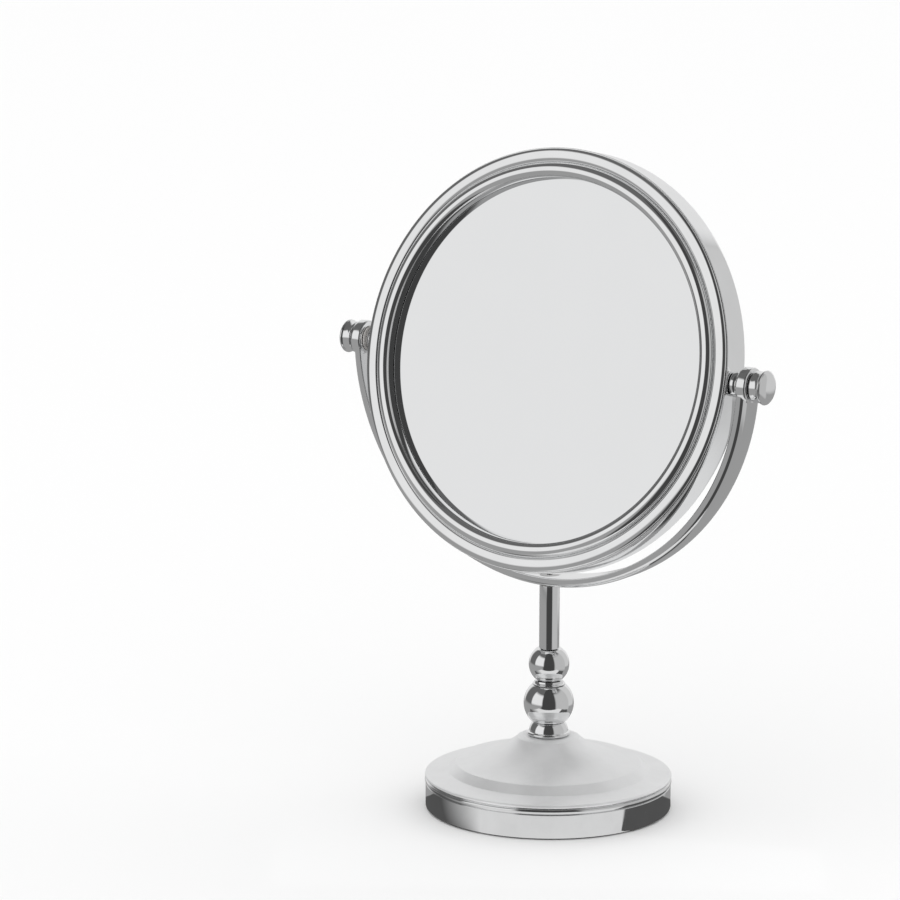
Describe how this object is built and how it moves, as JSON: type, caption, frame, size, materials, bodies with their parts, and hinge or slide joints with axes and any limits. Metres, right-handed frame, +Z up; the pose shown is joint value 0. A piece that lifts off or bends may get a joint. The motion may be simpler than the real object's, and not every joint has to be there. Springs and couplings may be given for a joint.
{
  "type": "countertop mirror",
  "caption": "Round double-sided countertop mirror tilting in a half-ring yoke, on a turned ball stem and a weighted round base, all bright chrome",
  "frame": {"origin": "centre of the underside of the base, on the surface that it stands on", "axes": "+Z up, X along the tilt axis, -Y towards the front glass's side"},
  "size_m": [0.2352, 0.1166, 0.3123],
  "materials": {
    "chrome": "polished chrome plate",
    "mirror": "silvered glass",
    "steel": "zinc plated",
    "brass": "turned",
    "cast_iron": "as cast",
    "felt": "pressed felt",
    "nylon": "moulded",
    "black_plastic": "moulded",
    "board": "pressed grey board"
  },
  "bodies": {
    "stand": {"base_pad": "felt", "base_weight": "cast_iron", "base_shell": "chrome", "base_nut": "steel", "base_washer": "steel", "tie_rod": "steel", "stem_collar": "chrome", "lower_ball": "chrome", "ball_spacer": "chrome", "upper_ball": "chrome", "stem_tube": "chrome", "stem_plug": "brass", "yoke_screw": "steel", "yoke": "chrome", "left_friction_washer": "nylon", "left_outer_washer": "steel", "right_friction_washer": "nylon", "right_outer_washer": "steel"},
    "head": {"hoop": "chrome", "front_rim": "chrome", "rear_rim": "chrome", "carrier_ring": "black_plastic", "front_glass": "mirror", "rear_glass": "mirror", "glass_spacer": "board", "left_bush": "chrome", "left_stud": "steel", "left_anchor_nut": "steel", "right_bush": "chrome", "right_stud": "steel", "right_anchor_nut": "steel"},
    "left_knob": {"left_knob": "chrome"},
    "right_knob": {"right_knob": "chrome"}
  },
  "joints": [
    {"name": "head_tilt", "type": "hinge", "parent": "stand", "child": "head", "pos_m": [0, 0, 0.2142], "axis": [1, 0, 0], "continuous": true},
    {"name": "left_knob_turn", "type": "hinge", "parent": "head", "child": "left_knob", "pos_m": [-0.115, 0, 0.2142], "axis": [-1, 0, 0], "range_deg": [0, 360]},
    {"name": "right_knob_turn", "type": "hinge", "parent": "head", "child": "right_knob", "pos_m": [0.115, 0, 0.2142], "axis": [1, 0, 0], "range_deg": [0, 360]}
  ]
}
